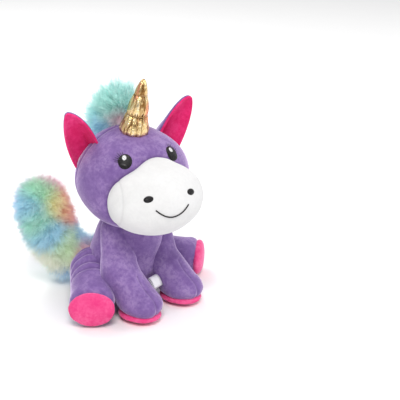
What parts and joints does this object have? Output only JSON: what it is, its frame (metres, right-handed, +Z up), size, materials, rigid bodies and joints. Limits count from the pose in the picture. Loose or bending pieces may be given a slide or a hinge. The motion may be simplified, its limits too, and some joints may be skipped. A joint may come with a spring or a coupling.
{
  "type": "plush unicorn",
  "caption": "Sitting plush unicorn with a stuffed horn, floppy ears, fur mane and tail, and four soft legs sewn to a flat-seated torso.",
  "frame": {"origin": "centre of the flat seat, on the surface the toy sits on", "axes": "+Z up, the chest faces -Y, +X is the toy's own left"},
  "size_m": [0.1806, 0.1951, 0.216],
  "materials": {
    "purple_plush": "short-pile velour plush",
    "pink_plush": "short-pile velour plush",
    "white_plush": "short-pile velour plush",
    "gold_lame": "metallic foil knit",
    "gold_thread": "twisted thread",
    "black_thread": "satin-stitch embroidery",
    "white_thread": "satin-stitch embroidery",
    "rainbow_fur": "long-pile tie-dyed faux fur",
    "fur_backing": "knitted backing",
    "fibre_stuffing": "polyester fibre",
    "bean_bag_cloth": "nonwoven bag of pellets",
    "satin_label": "satin ribbon, blank"
  },
  "bodies": {
    "torso": {"belly_panel": "purple_plush", "care_label": "satin_label", "seat_bean_bag": "bean_bag_cloth", "seat_panel": "purple_plush", "torso_panel_left": "purple_plush", "torso_panel_right": "purple_plush", "torso_stuffing": "fibre_stuffing"},
    "ear_left": {"ear_back_left": "purple_plush", "ear_lining_left": "pink_plush"},
    "ear_right": {"ear_back_right": "purple_plush", "ear_lining_right": "pink_plush"},
    "head": {"eye_glint_left": "white_thread", "eye_glint_right": "white_thread", "eye_left": "black_thread", "eye_right": "black_thread", "eyelashes_left": "black_thread", "eyelashes_right": "black_thread", "face_panel": "purple_plush", "head_back_left": "purple_plush", "head_back_right": "purple_plush", "head_stuffing": "fibre_stuffing", "mane_pile": "rainbow_fur", "mane_tape": "fur_backing", "muzzle_panel": "white_plush", "nostril_left": "black_thread", "nostril_right": "black_thread", "smile_thread": "black_thread"},
    "front_leg_left": {"front_leg_inner_panel_left": "purple_plush", "front_leg_outer_panel_left": "purple_plush", "front_leg_sole_left": "pink_plush", "front_leg_stuffing_left": "fibre_stuffing"},
    "front_leg_right": {"front_leg_inner_panel_right": "purple_plush", "front_leg_outer_panel_right": "purple_plush", "front_leg_sole_right": "pink_plush", "front_leg_stuffing_right": "fibre_stuffing"},
    "hind_leg_left": {"hind_leg_lower_panel_left": "purple_plush", "hind_leg_sole_left": "pink_plush", "hind_leg_stuffing_left": "fibre_stuffing", "hind_leg_upper_panel_left": "purple_plush"},
    "hind_leg_right": {"hind_leg_lower_panel_right": "purple_plush", "hind_leg_sole_right": "pink_plush", "hind_leg_stuffing_right": "fibre_stuffing", "hind_leg_upper_panel_right": "purple_plush"},
    "horn": {"horn_cover": "gold_lame", "horn_stuffing": "fibre_stuffing", "horn_tie_lower": "gold_thread", "horn_tie_upper": "gold_thread"},
    "neck": {"neck_collar": "purple_plush"},
    "tail": {"tail_pile": "rainbow_fur", "tail_tube": "fur_backing"}
  },
  "joints": [
    {"name": "neck_turn", "type": "hinge", "parent": "torso", "child": "neck", "pos_m": [0, 0, 0.066], "axis": [0, 0, 1], "range_deg": [-15, 15], "stiffness_Nm_per_rad": 0.6},
    {"name": "head_nod", "type": "hinge", "parent": "neck", "child": "head", "pos_m": [0, 0, 0.066], "axis": [0.9613, -0.2756, 0], "range_deg": [-10, 8], "stiffness_Nm_per_rad": 1.2},
    {"name": "horn_bend", "type": "hinge", "parent": "head", "child": "horn", "pos_m": [-0.00276, -0.00961, 0.171], "axis": [0.9613, -0.2756, 0], "range_deg": [-8, 8], "stiffness_Nm_per_rad": 0.05},
    {"name": "ear_left_flop", "type": "hinge", "parent": "head", "child": "ear_left", "pos_m": [0.0434, -0.00828, 0.149], "axis": [0.6179, -0.1772, -0.766], "range_deg": [-15, 15], "stiffness_Nm_per_rad": 0.02},
    {"name": "ear_right_flop", "type": "hinge", "parent": "head", "child": "ear_right", "pos_m": [-0.04119, 0.01597, 0.149], "axis": [0.6179, -0.1772, 0.766], "range_deg": [-15, 15], "stiffness_Nm_per_rad": 0.02},
    {"name": "front_leg_left_swing", "type": "hinge", "parent": "torso", "child": "front_leg_left", "pos_m": [0.024, -0.01, 0.057], "axis": [-1, 0, 0], "range_deg": [-5, 15], "stiffness_Nm_per_rad": 0.5},
    {"name": "front_leg_right_swing", "type": "hinge", "parent": "torso", "child": "front_leg_right", "pos_m": [-0.024, -0.01, 0.057], "axis": [-1, 0, 0], "range_deg": [-5, 15], "stiffness_Nm_per_rad": 0.5},
    {"name": "hind_leg_left_lift", "type": "hinge", "parent": "torso", "child": "hind_leg_left", "pos_m": [0.03, 0.025, 0.024], "axis": [-0.5299, -0.848, 0], "range_deg": [-4, 14], "stiffness_Nm_per_rad": 0.5},
    {"name": "hind_leg_right_lift", "type": "hinge", "parent": "torso", "child": "hind_leg_right", "pos_m": [-0.03, 0.025, 0.024], "axis": [-0.7071, 0.7071, 0], "range_deg": [-4, 14], "stiffness_Nm_per_rad": 0.5},
    {"name": "tail_swing", "type": "hinge", "parent": "torso", "child": "tail", "pos_m": [0, 0.05, 0.032], "axis": [0, 0, 1], "range_deg": [-30, 8], "stiffness_Nm_per_rad": 0.25}
  ]
}
